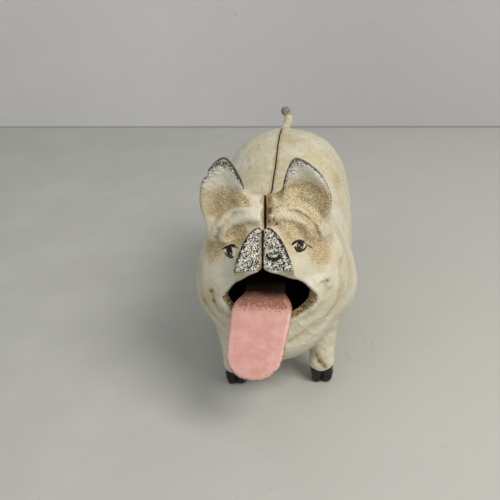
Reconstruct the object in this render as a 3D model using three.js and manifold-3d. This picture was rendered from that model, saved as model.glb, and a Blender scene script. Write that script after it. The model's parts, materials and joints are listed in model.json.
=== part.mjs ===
// A cast iron pig bank whose tail works its tongue.
// Two hollow castings meet at the middle plane. The tongue hinges behind the lower lip and the tail lever
// hinges under the rump. A wire link joins their arms, so pulling the tail back lifts the tongue and tips
// its coin into the belly. Millimetres, +Z up. The pig faces -Y and its left side is +X. The origin is on
// the ground, under the bank's middle.
import * as THREE from "three";
import { mergeVertices } from "three/addons/utils/BufferGeometryUtils.js";
import Module from "manifold-3d";

// ---- Driving dimensions ----

const WALL = 3.2; // thickness of the castings
const SEAM_GAP = 0.6; // between the two castings
const GAP = 0.3; // between pieces that touch
const FAR = 200; // larger than the bank, for cutting tools

// The body is a blend of egg shapes. Each is a centre and three radii.
const BODY_EGGS = [
  { at: [0, 8, 55], radii: [40, 68, 39] }, // barrel
  { at: [0, 48, 61], radii: [37, 47, 38.5] }, // rump
  { at: [0, -28, 50], radii: [39.5, 36, 35] }, // shoulders
  { at: [0, -36, 62], radii: [35, 32, 36] }, // skull
  { at: [0, -48, 80], radii: [22, 16, 19] }, // brow
  { at: [17, -47, 57], radii: [18, 19, 22] }, // cheeks
  { at: [-17, -47, 57], radii: [18, 19, 22] },
  { at: [0, -56, 73], radii: [19, 20, 14] }, // muzzle
  { at: [0, -51, 39], radii: [25, 19, 20] }, // chin
];

const LEG = { spread: 22, splay: 3, shinHeight: 8, hoofRadius: 5.4, ankleRadius: 6.3, top: 34 };
const FRONT_LEG = { y: -44, shoulderY: -40, shoulderRadius: 9.5 };
const REAR_LEG = { y: 51, shoulderY: 47, shoulderRadius: 11.5 };

const SNOUT = {
  top: [0, -68, 94],
  slope: 49, // degrees below level
  length: 18.4,
  depth: 12,
  topHalfWidth: 3.5,
  halfWidth: 12.5,
  shoulder: [7.5, 3], // where the sides start to run down, across and down from the top
  fullWidthAt: 9, // how far down the sides stand upright
  cornerWidth: 2,
  cornerHeight: 2.5,
};
const EAR = {
  y: -50.5,
  thickness: 4.4,
  innerX: 7,
  outerX: 30.5,
  rootX: 26.5, // where the outer side meets the head
  rootZ: 84,
  baseZ: 88, // foot of the straight inner side
  outerFootZ: 95, // foot of the round outer side
  innerBowZ: 109,
  outerBowZ: 112,
  tipInnerX: 15,
  tipOuterX: 18.5,
  tipZ: 121,
  tipDrop: 0.5, // the tip's fall towards the outside
};
const MOUTH = { apexZ: 80, cornerX: 19, cornerZ: 59.5, floorZ: 47.5, back: -46 };

const PIN_RADIUS = 1.5;
const PIN_SINK = 5; // how far each end of a pin goes into its boss
const PIN_COLUMN_REACH = 30; // the bosses run out to here before the skin trims them
const SPACER_WALL = 0.8;
const HUB_RADIUS = 3.6;
const ARM_THICKNESS = 3.8;
const ARM_HALF_HEIGHT = 2.4;
const ARM_EYE_RADIUS = 2.8;
const ARM_LENGTH = 10; // pivot to link hole, the same on both levers
const ARM_ANGLE = -22; // the arms' direction at rest, from +Y towards +Z
const LINK_HOLE_RADIUS = 1.5;

const TONGUE_PIVOT = { y: -61.5, z: 40 };
const TAIL_PIVOT = { y: 69, z: 80 };

const TONGUE = {
  shoulder: [-2.45, -72, 60], // middle of the plate's upper face where it turns into the mouth
  slope: 49.6, // degrees below level
  lean: 5.5, // degrees towards -X
  length: 35.5,
  width: 27,
  thickness: 3.6,
  cornerRadius: 10,
  backHalfWidth: 5, // of the plate's upper edge, inside the mouth
  backRise: 4, // of that edge above the shoulder
  backBow: 3,
  fullWidthAt: 5, // how far below the shoulder the sides start
  neckLeft: -9.8,
  neckRight: 5.8,
  hubLeft: -6,
  hubRight: 2,
};
const TONGUE_BOSS_X = 10; // inner ends of the tongue pin's bosses
const TAIL_BOSS_X = 5.4; // inner ends of the tail pin's bosses
const TAIL_HUB_HALF = 2.5;
const SLOT = { halfWidth: 4.6, front: 70.6, floor: 78.2 };

// The tail's middle line: x, then how far behind and above its pivot.
const TAIL_ROUTE = [
  [0, 0, 0],
  [0, 3.6, 8],
  [0.4, 6.6, 13],
  [1.7, 7.6, 16],
  [3.1, 8, 18.6],
  [3.6, 8.4, 21.4],
  [2.9, 8.7, 23.6],
  [1.9, 8.8, 25.4],
];
const TAIL_RADIUS = 2.5;
const TAIL_KNOB_RADII = [2.7, 2.7, 2.6];

const LINK_WIRE_RADIUS = 1.2;
const LINK_RUN_X = 4.7; // the link runs beside the arms, on the pig's left
const LINK_HEAD = { radius: 2.1, thickness: 1.2 };

const SCREW_PLACES = { body_screw_front: { y: -13, z: 33 }, body_screw_rear: { y: 55, z: 42 } };
const SCREW = {
  bossRadius: 6,
  columnReach: 36, // the bosses run out to here before the skin trims them
  shankRadius: 1.9,
  headRadius: 4,
  headHeight: 2,
  seat: 27, // under the head, out from the middle plane
  reach: 13, // the shank's end, past the middle plane
};
const SCREW_SLOT = { halfWidth: 0.6, depth: 1 }; // for a screwdriver

const TRAP = {
  y: 12,
  ringRadius: 18.5,
  holeRadius: 13.5,
  coverRadius: 16,
  bottom: 14.6,
  coverBottom: 15,
  seat: 17.6,
  top: 21.8,
};
const TRAP_STRAP = { halfWidth: 4, overlap: 3.5, thickness: 2.6 };
const TRAP_SCREW = { headHeight: 1.8, reach: 5 }; // reach is past the ring's top

// ---- Joining and cutting ----

const wasm = await Module();
wasm.setup();

function solid(geometry) {
  const bare = geometry.index ? geometry.toNonIndexed() : geometry.clone();
  bare.deleteAttribute("normal");
  bare.deleteAttribute("uv");
  const merged = mergeVertices(bare, 1e-3);
  return new wasm.Manifold(
    new wasm.Mesh({
      numProp: 3,
      vertProperties: merged.getAttribute("position").array,
      triVerts: new Uint32Array(merged.index.array),
    }),
  );
}

function geometryOf(body) {
  const mesh = body.getMesh();
  const geometry = new THREE.BufferGeometry();
  geometry.setAttribute("position", new THREE.BufferAttribute(mesh.vertProperties, 3));
  geometry.setIndex(new THREE.BufferAttribute(mesh.triVerts, 1));
  geometry.computeVertexNormals();
  return geometry;
}

const join = (solids) => solids.reduce((all, next) => all.add(next));
const cut = (body, tools) => tools.reduce((left, tool) => left.subtract(tool), body);

// ---- Basic shapes ----

function egg({ at, radii }, shrink, around, down) {
  const geometry = new THREE.SphereGeometry(1, around, down);
  geometry.rotateX(Math.PI / 2);
  geometry.scale(radii[0] - shrink, radii[1] - shrink, radii[2] - shrink);
  geometry.translate(...at);
  return solid(geometry);
}

// A round bar from one point to another, tapering from one radius to the other.
function bar(from, to, fromRadius, toRadius = fromRadius, sides = 20) {
  const start = new THREE.Vector3(...from);
  const along = new THREE.Vector3(...to).sub(start);
  const geometry = new THREE.CylinderGeometry(toRadius, fromRadius, along.length(), sides);
  geometry.translate(0, along.length() / 2, 0);
  const up = new THREE.Vector3(0, 1, 0);
  geometry.applyQuaternion(new THREE.Quaternion().setFromUnitVectors(up, along.clone().normalize()));
  geometry.translate(...from);
  return solid(geometry);
}

// A round bar along X through a pivot.
function crossBar(pivot, x0, x1, radius, sides = 20) {
  return bar([x0, pivot.y, pivot.z], [x1, pivot.y, pivot.z], radius, radius, sides);
}

function block(low, high) {
  const size = high.map((value, i) => value - low[i]);
  const geometry = new THREE.BoxGeometry(...size);
  geometry.translate(...high.map((value, i) => (value + low[i]) / 2));
  return solid(geometry);
}

// An outline in Y and Z, extruded along X.
function sidePlate(outline, x0, x1) {
  const shape = new THREE.Shape(outline);
  const geometry = new THREE.ExtrudeGeometry(shape, { depth: x1 - x0, bevelEnabled: false });
  const basis = new THREE.Matrix4().makeBasis(
    new THREE.Vector3(0, 1, 0),
    new THREE.Vector3(0, 0, 1),
    new THREE.Vector3(1, 0, 0),
  );
  geometry.applyMatrix4(basis.setPosition(x0, 0, 0));
  return solid(geometry);
}

const yz = (y, z) => new THREE.Vector2(y, z);

// ---- Outer form of the pig ----

function leg(side, place) {
  const hip = [side * (LEG.spread + LEG.splay), place.shoulderY, LEG.top];
  const ankle = [side * LEG.spread, place.y, LEG.shinHeight];
  const sole = [side * LEG.spread, place.y, 0];
  return join([
    bar(ankle, hip, LEG.ankleRadius, place.shoulderRadius, 18),
    bar(sole, ankle, LEG.hoofRadius, LEG.ankleRadius, 18),
  ]);
}

// A leaf with a straight inner side and a round outer one, standing across the head.
function ear(side) {
  const outline = new THREE.Shape();
  outline.moveTo(EAR.innerX, EAR.baseZ);
  outline.quadraticCurveTo(EAR.innerX, EAR.innerBowZ, EAR.tipInnerX, EAR.tipZ);
  outline.lineTo(EAR.tipOuterX, EAR.tipZ - EAR.tipDrop);
  outline.quadraticCurveTo(EAR.outerX, EAR.outerBowZ, EAR.outerX, EAR.outerFootZ);
  outline.lineTo(EAR.rootX, EAR.rootZ);
  outline.closePath();
  const geometry = new THREE.ExtrudeGeometry(outline, {
    depth: EAR.thickness,
    bevelEnabled: false,
    curveSegments: 7,
  });
  geometry.rotateX(Math.PI / 2);
  geometry.translate(0, EAR.y + EAR.thickness / 2, 0);
  const oneEar = solid(geometry);
  return side > 0 ? oneEar : oneEar.mirror([1, 0, 0]);
}

// The snout is a wedge-shaped disc that slopes forwards and down.
function snout() {
  const { topHalfWidth, halfWidth, length, fullWidthAt } = SNOUT;
  const [shoulderX, shoulderDown] = SNOUT.shoulder;
  const sideEnd = length - SNOUT.cornerHeight;
  const bottomHalfWidth = halfWidth - SNOUT.cornerWidth;
  const outline = new THREE.Shape();
  outline.moveTo(-topHalfWidth, 0);
  outline.lineTo(topHalfWidth, 0);
  outline.bezierCurveTo(shoulderX, shoulderDown, halfWidth, fullWidthAt, halfWidth, sideEnd);
  outline.lineTo(bottomHalfWidth, length);
  outline.lineTo(-bottomHalfWidth, length);
  outline.lineTo(-halfWidth, sideEnd);
  outline.bezierCurveTo(-halfWidth, fullWidthAt, -shoulderX, shoulderDown, -topHalfWidth, 0);
  const geometry = new THREE.ExtrudeGeometry(outline, {
    depth: SNOUT.depth,
    bevelEnabled: false,
    curveSegments: 6,
  });
  geometry.applyMatrix4(slopedBasis(SNOUT.top, SNOUT.slope, 0));
  return solid(geometry);
}

// A frame on a slope that faces forwards: X runs across it, Y runs down it and Z runs into it.
function slopedBasis(at, slopeDegrees, leanDegrees) {
  const slope = THREE.MathUtils.degToRad(slopeDegrees);
  const across = new THREE.Vector3(1, 0, 0);
  const down = new THREE.Vector3(0, -Math.cos(slope), -Math.sin(slope));
  const inwards = new THREE.Vector3().crossVectors(across, down);
  const lean = THREE.MathUtils.degToRad(leanDegrees);
  const leanAcross = across.clone().multiplyScalar(Math.cos(lean)).addScaledVector(down, Math.sin(lean));
  const leanDown = down.clone().multiplyScalar(Math.cos(lean)).addScaledVector(across, -Math.sin(lean));
  return new THREE.Matrix4().makeBasis(leanAcross, leanDown, inwards).setPosition(...at);
}

// An arch over a shallow bowl, cut straight back into the head.
function mouthTool() {
  const right = [
    [0, MOUTH.apexZ],
    [9, MOUTH.apexZ - 5.5],
    [16.4, MOUTH.cornerZ + 6.5],
    [MOUTH.cornerX, MOUTH.cornerZ],
    [18, MOUTH.cornerZ - 5],
    [15, MOUTH.floorZ + 4],
    [10, MOUTH.floorZ + 1.2],
  ];
  const left = right.slice(1).map(([x, z]) => [-x, z]);
  const points = [...right, [0, MOUTH.floorZ], ...left.reverse()];
  const outline = new THREE.Shape(points.map(([x, z]) => new THREE.Vector2(x, z)));
  const geometry = new THREE.ExtrudeGeometry(outline, { depth: FAR + MOUTH.back, bevelEnabled: false });
  geometry.rotateX(Math.PI / 2);
  geometry.translate(0, MOUTH.back, 0);
  return solid(geometry);
}

// ---- The two castings ----

function trapAxis(z0, z1, radius, sides = 28) {
  return bar([0, TRAP.y, z0], [0, TRAP.y, z1], radius, radius, sides);
}

function pigShell() {
  const skin = join(BODY_EGGS.map((one) => egg(one, 0, 20, 12)));
  const hollow = join(BODY_EGGS.map((one) => egg(one, WALL, 14, 8)));
  const legs = [FRONT_LEG, REAR_LEG].flatMap((place) => [leg(1, place), leg(-1, place)]);
  const outside = join([skin, ...legs, ear(1), ear(-1), snout()]);

  const columns = [
    crossBar(TONGUE_PIVOT, -PIN_COLUMN_REACH, -TONGUE_BOSS_X, HUB_RADIUS),
    crossBar(TONGUE_PIVOT, TONGUE_BOSS_X, PIN_COLUMN_REACH, HUB_RADIUS),
    crossBar(TAIL_PIVOT, -PIN_COLUMN_REACH, -TAIL_BOSS_X, HUB_RADIUS),
    crossBar(TAIL_PIVOT, TAIL_BOSS_X, PIN_COLUMN_REACH, HUB_RADIUS),
    ...Object.values(SCREW_PLACES).map((place) =>
      crossBar(place, -SCREW.columnReach, SCREW.columnReach, SCREW.bossRadius),
    ),
  ];
  const trapRing = trapAxis(TRAP.bottom, TRAP.top, TRAP.ringRadius);
  const fittings = join([...columns, trapRing]).intersect(join([skin, trapRing]));

  const pinHole = PIN_RADIUS + GAP;
  const screwCuts = Object.values(SCREW_PLACES).flatMap((place) => [
    crossBar(place, -SCREW.seat, SCREW.reach + GAP, SCREW.shankRadius + GAP),
    crossBar(place, -FAR, -SCREW.seat, SCREW.headRadius + GAP),
  ]);
  return cut(cut(outside, [hollow]).add(fittings), [
    mouthTool(),
    crossBar(TONGUE_PIVOT, -TONGUE_BOSS_X - PIN_SINK - GAP, TONGUE_BOSS_X + PIN_SINK + GAP, pinHole),
    crossBar(TAIL_PIVOT, -TAIL_BOSS_X - PIN_SINK - GAP, TAIL_BOSS_X + PIN_SINK + GAP, pinHole),
    ...screwCuts,
    trapAxis(0, TRAP.top + WALL, TRAP.holeRadius),
    trapAxis(0, TRAP.seat, TRAP.coverRadius + GAP),
    block([-SLOT.halfWidth, SLOT.front, SLOT.floor], [SLOT.halfWidth, FAR, FAR]),
  ]);
}

function half(shell, side) {
  const near = side * (SEAM_GAP / 2);
  const far = side * FAR;
  return shell.intersect(block([Math.min(near, far), -FAR, -FAR], [Math.max(near, far), FAR, FAR]));
}

// ---- Levers and link ----

function armEnd(pivot) {
  const angle = THREE.MathUtils.degToRad(ARM_ANGLE);
  return { y: pivot.y + ARM_LENGTH * Math.cos(angle), z: pivot.z + ARM_LENGTH * Math.sin(angle) };
}

// The flat arm that the link hooks into.
function linkArm(pivot) {
  const end = armEnd(pivot);
  const angle = THREE.MathUtils.degToRad(ARM_ANGLE);
  const side = yz(-Math.sin(angle), Math.cos(angle)).multiplyScalar(ARM_HALF_HEIGHT);
  const outline = [
    yz(pivot.y, pivot.z).add(side),
    yz(pivot.y, pivot.z).sub(side),
    yz(end.y, end.z).sub(side),
    yz(end.y, end.z).add(side),
  ];
  const edge = ARM_THICKNESS / 2;
  return join([sidePlate(outline, -edge, edge), crossBar(end, -edge, edge, ARM_EYE_RADIUS)]);
}

function tongue() {
  const halfWidth = TONGUE.width / 2;
  const corner = TONGUE.cornerRadius;
  const { backHalfWidth, backRise, backBow, fullWidthAt } = TONGUE;
  const outline = new THREE.Shape();
  outline.moveTo(-backHalfWidth, -backRise);
  outline.lineTo(backHalfWidth, -backRise);
  outline.quadraticCurveTo(halfWidth, -backBow, halfWidth, fullWidthAt);
  outline.absarc(halfWidth - corner, TONGUE.length - corner, corner, 0, Math.PI / 2, false);
  outline.absarc(corner - halfWidth, TONGUE.length - corner, corner, Math.PI / 2, Math.PI, false);
  outline.lineTo(-halfWidth, fullWidthAt);
  outline.quadraticCurveTo(-halfWidth, -backBow, -backHalfWidth, -backRise);
  const plateGeometry = new THREE.ExtrudeGeometry(outline, {
    depth: TONGUE.thickness,
    bevelEnabled: false,
    curveSegments: 8,
  });
  plateGeometry.applyMatrix4(slopedBasis(TONGUE.shoulder, TONGUE.slope, TONGUE.lean));

  // Offsets from the shoulder, over the lower lip and back to the hinge lug.
  const [, shoulderY, shoulderZ] = TONGUE.shoulder;
  const neckOutline = [
    yz(-0.5, -0.6),
    yz(5.5, 4.2),
    yz(12, 5.8),
    yz(17.5, 4.8),
    yz(17.5, 1.4),
    yz(12, 2.2),
    yz(7, 0.8),
    yz(2, -3.6),
  ].map((point) => point.add(yz(shoulderY, shoulderZ)));
  const lugOutline = [
    yz(TONGUE_PIVOT.y + 0.6, shoulderZ + 2.6),
    yz(TONGUE_PIVOT.y + 4.5, shoulderZ + 2.6),
    yz(TONGUE_PIVOT.y + 3.6, TONGUE_PIVOT.z),
    yz(TONGUE_PIVOT.y - 1.2, TONGUE_PIVOT.z),
  ];
  const body = join([
    solid(plateGeometry),
    sidePlate(neckOutline, TONGUE.neckLeft, TONGUE.neckRight),
    sidePlate(lugOutline, TONGUE.hubLeft, TONGUE.hubRight),
    crossBar(TONGUE_PIVOT, TONGUE.hubLeft, TONGUE.hubRight, HUB_RADIUS),
    linkArm(TONGUE_PIVOT),
  ]);
  return cut(body, [
    crossBar(TONGUE_PIVOT, -FAR, FAR, PIN_RADIUS + GAP),
    crossBar(armEnd(TONGUE_PIVOT), -FAR, FAR, LINK_HOLE_RADIUS, 16),
  ]);
}

// A tail that leaves the slot upright, kinks to the pig's left and back, and ends in a small knob.
function tailLever() {
  const stops = TAIL_ROUTE.map(([x, behind, above]) => [x, TAIL_PIVOT.y + behind, TAIL_PIVOT.z + above]);
  const route = new THREE.CatmullRomCurve3(stops.map((stop) => new THREE.Vector3(...stop)));
  const section = new THREE.Shape().absarc(0, 0, TAIL_RADIUS, 0, 2 * Math.PI, false);
  const stem = new THREE.ExtrudeGeometry(section, {
    steps: 16,
    curveSegments: 5,
    bevelEnabled: false,
    extrudePath: route,
  });
  const body = join([
    solid(stem),
    egg({ at: stops.at(-1), radii: TAIL_KNOB_RADII }, 0, 12, 8),
    crossBar(TAIL_PIVOT, -TAIL_HUB_HALF, TAIL_HUB_HALF, HUB_RADIUS),
    linkArm(TAIL_PIVOT),
  ]);
  return cut(body, [
    crossBar(TAIL_PIVOT, -FAR, FAR, PIN_RADIUS + GAP),
    crossBar(armEnd(TAIL_PIVOT), -FAR, FAR, LINK_HOLE_RADIUS, 16),
  ]);
}

// Wire with its ends turned through the two arms and peened over on the far side.
function linkRod() {
  const front = armEnd(TONGUE_PIVOT);
  const back = armEnd(TAIL_PIVOT);
  const headX = -ARM_THICKNESS / 2 - GAP;
  const hooks = [front, back].flatMap((end) => [
    crossBar(end, headX - LINK_HEAD.thickness, LINK_RUN_X + LINK_WIRE_RADIUS, LINK_WIRE_RADIUS, 12),
    crossBar(end, headX - LINK_HEAD.thickness, headX, LINK_HEAD.radius, 12),
  ]);
  const run = bar(
    [LINK_RUN_X, front.y, front.z],
    [LINK_RUN_X, back.y, back.z],
    LINK_WIRE_RADIUS,
    LINK_WIRE_RADIUS,
    12,
  );
  return join([run, ...hooks]);
}

// ---- Pins, spacers and screws ----

const pin = (pivot, bossX) => crossBar(pivot, -bossX - PIN_SINK, bossX + PIN_SINK, PIN_RADIUS, 16);

function spacer(pivot, x0, x1) {
  const bore = PIN_RADIUS + GAP;
  const outer = crossBar(pivot, x0 + GAP, x1 - GAP, bore + SPACER_WALL, 16);
  return cut(outer, [crossBar(pivot, -FAR, FAR, bore, 16)]);
}

function bodyScrew(place) {
  const headOuter = -SCREW.seat - GAP - SCREW.headHeight;
  const body = join([
    crossBar(place, headOuter, -SCREW.seat - GAP, SCREW.headRadius, 24),
    crossBar(place, -SCREW.seat - GAP, SCREW.reach, SCREW.shankRadius, 16),
  ]);
  const { halfWidth, depth } = SCREW_SLOT;
  const slot = block(
    [headOuter - depth, place.y - FAR, place.z - halfWidth],
    [headOuter + depth, place.y + FAR, place.z + halfWidth],
  );
  return cut(body, [slot]);
}

const trapScrewHole = () => trapAxis(0, FAR, SCREW.shankRadius + GAP, 16);

function trapCover() {
  const disc = trapAxis(TRAP.coverBottom, TRAP.seat - GAP, TRAP.coverRadius);
  return cut(disc, [trapScrewHole()]);
}

// A strap across the inside of the trap ring that the screw pulls the cover against.
function trapBridge() {
  const { halfWidth, overlap, thickness } = TRAP_STRAP;
  const reach = TRAP.holeRadius + overlap;
  const bottom = TRAP.top + GAP;
  const strap = block(
    [-halfWidth, TRAP.y - reach, bottom],
    [halfWidth, TRAP.y + reach, bottom + thickness],
  );
  return cut(strap, [trapScrewHole()]);
}

function trapScrew() {
  const headTop = TRAP.coverBottom - GAP;
  const headBottom = headTop - TRAP_SCREW.headHeight;
  const body = join([
    trapAxis(headBottom, headTop, SCREW.headRadius, 24),
    trapAxis(headTop, TRAP.top + TRAP_SCREW.reach, SCREW.shankRadius, 16),
  ]);
  const { halfWidth, depth } = SCREW_SLOT;
  const slot = block(
    [-FAR, TRAP.y - halfWidth, headBottom - depth],
    [FAR, TRAP.y + halfWidth, headBottom + depth],
  );
  return cut(body, [slot]);
}

// ---- Assembly ----

const MATERIALS = {
  cream: new THREE.MeshStandardMaterial({ color: 0xded6bd, roughness: 0.45, metalness: 0.1 }),
  pink: new THREE.MeshStandardMaterial({ color: 0xdd9a93, roughness: 0.4, metalness: 0.1 }),
  iron: new THREE.MeshStandardMaterial({ color: 0x4b4741, roughness: 0.6, metalness: 0.9 }),
  steel: new THREE.MeshStandardMaterial({ color: 0x9a9a98, roughness: 0.35, metalness: 1 }),
};

const bank = new THREE.Group();

function addPart(name, body, material) {
  const mesh = new THREE.Mesh(geometryOf(body), material);
  mesh.name = name;
  bank.add(mesh);
}

const shell = pigShell();
addPart("body_half_left", half(shell, 1), MATERIALS.cream);
addPart("body_half_right", half(shell, -1), MATERIALS.cream);
addPart("tongue", tongue(), MATERIALS.pink);
addPart("tail_lever", tailLever(), MATERIALS.cream);
addPart("link_rod", linkRod(), MATERIALS.steel);
addPart("tongue_pin", pin(TONGUE_PIVOT, TONGUE_BOSS_X), MATERIALS.steel);
addPart("tongue_spacer_right", spacer(TONGUE_PIVOT, -TONGUE_BOSS_X, TONGUE.hubLeft), MATERIALS.steel);
addPart("tongue_spacer_left", spacer(TONGUE_PIVOT, TONGUE.hubRight, TONGUE_BOSS_X), MATERIALS.steel);
addPart("tail_pin", pin(TAIL_PIVOT, TAIL_BOSS_X), MATERIALS.steel);
addPart("tail_spacer_right", spacer(TAIL_PIVOT, -TAIL_BOSS_X, -TAIL_HUB_HALF), MATERIALS.steel);
addPart("tail_spacer_left", spacer(TAIL_PIVOT, TAIL_HUB_HALF, TAIL_BOSS_X), MATERIALS.steel);
for (const [name, place] of Object.entries(SCREW_PLACES)) {
  addPart(name, bodyScrew(place), MATERIALS.steel);
}
addPart("trap_cover", trapCover(), MATERIALS.iron);
addPart("trap_bridge", trapBridge(), MATERIALS.iron);
addPart("trap_screw", trapScrew(), MATERIALS.steel);

export default bank;
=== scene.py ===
"""A painted cast iron pig bank whose tail works its tongue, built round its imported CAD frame.

Every shape is a distance field in millimetres, in the frame's own axes: the pig faces -Y, its left
side is +X and it stands on Z = 0. Each field is meshed, placed in metres and given to the CAD body
that it rides on."""

import json
import math
from functools import reduce

import bpy
import numpy as np
from mathutils import Matrix, Vector


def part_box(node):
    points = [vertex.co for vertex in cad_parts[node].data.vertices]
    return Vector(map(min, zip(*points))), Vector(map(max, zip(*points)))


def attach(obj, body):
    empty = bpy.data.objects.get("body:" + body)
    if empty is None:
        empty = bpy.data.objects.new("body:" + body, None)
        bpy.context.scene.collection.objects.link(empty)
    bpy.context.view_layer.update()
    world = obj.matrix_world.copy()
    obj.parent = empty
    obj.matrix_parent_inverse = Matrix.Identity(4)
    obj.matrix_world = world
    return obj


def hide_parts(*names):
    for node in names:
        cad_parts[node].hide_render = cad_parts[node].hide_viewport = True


MM = 0.001

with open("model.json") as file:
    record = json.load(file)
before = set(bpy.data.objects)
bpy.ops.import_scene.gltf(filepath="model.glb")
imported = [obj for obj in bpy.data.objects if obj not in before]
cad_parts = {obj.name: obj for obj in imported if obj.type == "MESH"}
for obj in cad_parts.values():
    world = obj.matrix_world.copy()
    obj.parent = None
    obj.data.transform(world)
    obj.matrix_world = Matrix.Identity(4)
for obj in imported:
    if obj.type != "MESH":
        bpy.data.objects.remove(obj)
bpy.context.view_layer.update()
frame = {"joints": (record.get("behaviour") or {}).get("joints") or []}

# ---- Places taken from the frame, in millimetres ----


def joint_place(name):
    """(y, z) of a joint's pivot."""
    found = next(joint for joint in frame["joints"] if joint["name"] == name)
    return found["pos_m"][1] / MM, found["pos_m"][2] / MM


def node_box(name):
    low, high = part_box(name)
    return np.array(low) / MM, np.array(high) / MM


TONGUE_PIVOT = joint_place("tongue_lift")
TAIL_PIVOT = joint_place("tail_pull")
LINK_BACK = joint_place("link_swing")
ARM = (LINK_BACK[0] - TAIL_PIVOT[0], LINK_BACK[1] - TAIL_PIVOT[1])
LINK_FRONT = (TONGUE_PIVOT[0] + ARM[0], TONGUE_PIVOT[1] + ARM[1])

SEAM = 0.15  # half of the gap shown between the castings
WALL = 3.2
PIN_RADIUS = 1.5
PIN_HOLE = 1.8
HUB_RADIUS = 3.6
GAP = 0.3  # left round or between pieces that must not touch
PIN_END = 5  # how far a pin enters each boss

# ---- Distance fields. p is (x, y, z), three arrays in millimetres, and a field is negative inside ----


def soft_min(a, b, radius):
    mix = np.clip(0.5 + 0.5 * (b - a) / radius, 0, 1)
    return b + (a - b) * mix - radius * mix * (1 - mix)


def soft_max(a, b, radius):
    return -soft_min(-a, -b, radius)


def smooth_step(low, high, value):
    t = np.clip((value - low) / (high - low), 0, 1)
    return t * t * (3 - 2 * t)


def band(value, low, high):
    """Distance outside the range from low to high, negative inside it."""
    return np.maximum(low - value, value - high)


def offset_from(p, at):
    return p[0] - at[0], p[1] - at[1], p[2] - at[2]


def length(x, y, z):
    return np.sqrt(x ** 2 + y ** 2 + z ** 2)


def egg(p, at, radii):
    x, y, z = offset_from(p, at)
    near = length(x / radii[0], y / radii[1], z / radii[2])
    slope = length(x / radii[0] ** 2, y / radii[1] ** 2, z / radii[2] ** 2)
    return near * (near - 1) / np.maximum(slope, 1e-6)


def loaf(p, at, radii, power):
    """An egg with squarer shoulders: its outline is round at power 2 and boxier above that."""
    q = [np.maximum(np.abs(p[i] - at[i]), 1e-3) for i in range(3)]
    near = sum((q[i] / radii[i]) ** power for i in range(3)) ** (1 / power)
    steep = np.sqrt(sum((q[i] ** (power - 1) / radii[i] ** power) ** 2 for i in range(3)))
    slope = steep / near ** (power - 1)
    return (near - 1) / np.maximum(slope, 1e-6)


def bone(p, a, b, radius_a, radius_b):
    """A bar with round ends, whose radius may change from a to b."""
    dx, dy, dz = offset_from(b, a)
    x, y, z = offset_from(p, a)
    t = np.clip((x * dx + y * dy + z * dz) / (dx * dx + dy * dy + dz * dz), 0, 1)
    return length(x - t * dx, y - t * dy, z - t * dz) - (radius_a + (radius_b - radius_a) * t)


def line_distance(p, points, depth_share=1.0):
    """Distance to a line through these points. Distance along Y counts for this share of itself."""
    flat = (p[0], p[1] * depth_share, p[2])
    route = [(x, y * depth_share, z) for x, y, z in points]
    return np.minimum.reduce([bone(flat, a, b, 0, 0) for a, b in zip(route, route[1:])])


def rounded_box(p, middle, half, radius):
    q = [np.abs(p[i] - middle[i]) - (half[i] - radius) for i in range(3)]
    outside = np.sqrt(sum(np.maximum(one, 0) ** 2 for one in q))
    return outside + np.minimum(np.maximum(np.maximum(q[0], q[1]), q[2]), 0) - radius


def cross_bar(p, pivot, x0, x1, radius, rounding=0.3):
    """A round bar along X through a (y, z) pivot."""
    around = np.hypot(p[1] - pivot[0], p[2] - pivot[1]) - radius
    return soft_max(around, band(p[0], x0, x1), rounding)


# ---- The pig's form ----


def torso(p, side):
    """The rump sits a little to the pig's left, so the halves don't match exactly."""
    d = egg(p, (0, 8, 55), (38.6, 68, 39))
    d = soft_min(d, loaf(p, (1.3 * side, 48, 61), (36.6, 47, 38.3), 2.3), 10)
    return soft_min(d, egg(p, (0, -28, 46.5), (40.4, 35, 29.5)), 8)


# Middle, radii and reach of the blend of what is added to the head: cheek, chin, forehead and muzzle
HEAD_EGGS = [
    ((17, -47, 57), (18, 19, 22), 7),
    ((0, -51, 38.5), (25, 19, 21), 8),
    ((0, -48, 79), (21, 14, 19), 8),
    ((0, -58.5, 72.5), (17.5, 18.5, 12), 6),
]


def head(p):
    """Half of the head, with p's x measured outwards from the seam."""
    d = egg(p, (0, -36, 60), (35.5, 32, 35))
    for at, radii, reach in HEAD_EGGS:
        d = soft_min(d, egg(p, at, radii), reach)
    d = soft_min(d, bone(p, (20, -50.5, 88), (25.5, -49, 82.5), 3.2, 3.4), 6)
    return soft_min(d, bone(p, (0.5, -49.5, 97.6), (10, -49.5, 99.6), 3.4, 3.4), 4)


SNOUT_TOP = (-68, 94)  # y and z of the snout disc's upper end
SNOUT_SLOPE = math.radians(49)
SNOUT_LENGTH = 19.8
SNOUT_HALF_WIDTH = 13.1
SNOUT_DEPTH = 13


def snout_axes(p):
    """Distance down the disc from its top, and distance out of its face."""
    y, z = p[1] - SNOUT_TOP[0], p[2] - SNOUT_TOP[1]
    down = -y * math.cos(SNOUT_SLOPE) - z * math.sin(SNOUT_SLOPE)
    out = -y * math.sin(SNOUT_SLOPE) + z * math.cos(SNOUT_SLOPE)
    return down, out


def snout_outline(x, down):
    """Distance from the disc's edge, seen square on, negative inside."""
    reach = np.maximum(down, 0.02)
    half = SNOUT_HALF_WIDTH * (reach / 19.5) ** 0.42
    spread = 0.42 * half / np.maximum(reach, 0.5)
    return np.maximum((x - half) / np.sqrt(1 + spread ** 2), band(down, 0, SNOUT_LENGTH))


def snout(p):
    down, out = snout_axes(p)
    crown = 1.1 - 0.02 * (p[0] - 5.5) ** 2 - 0.006 * (down - 10) ** 2
    return soft_max(snout_outline(p[0], down), band(out, -SNOUT_DEPTH, crown), 1.8)


EAR_NOTCH = (24.2, 111.5)


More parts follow.
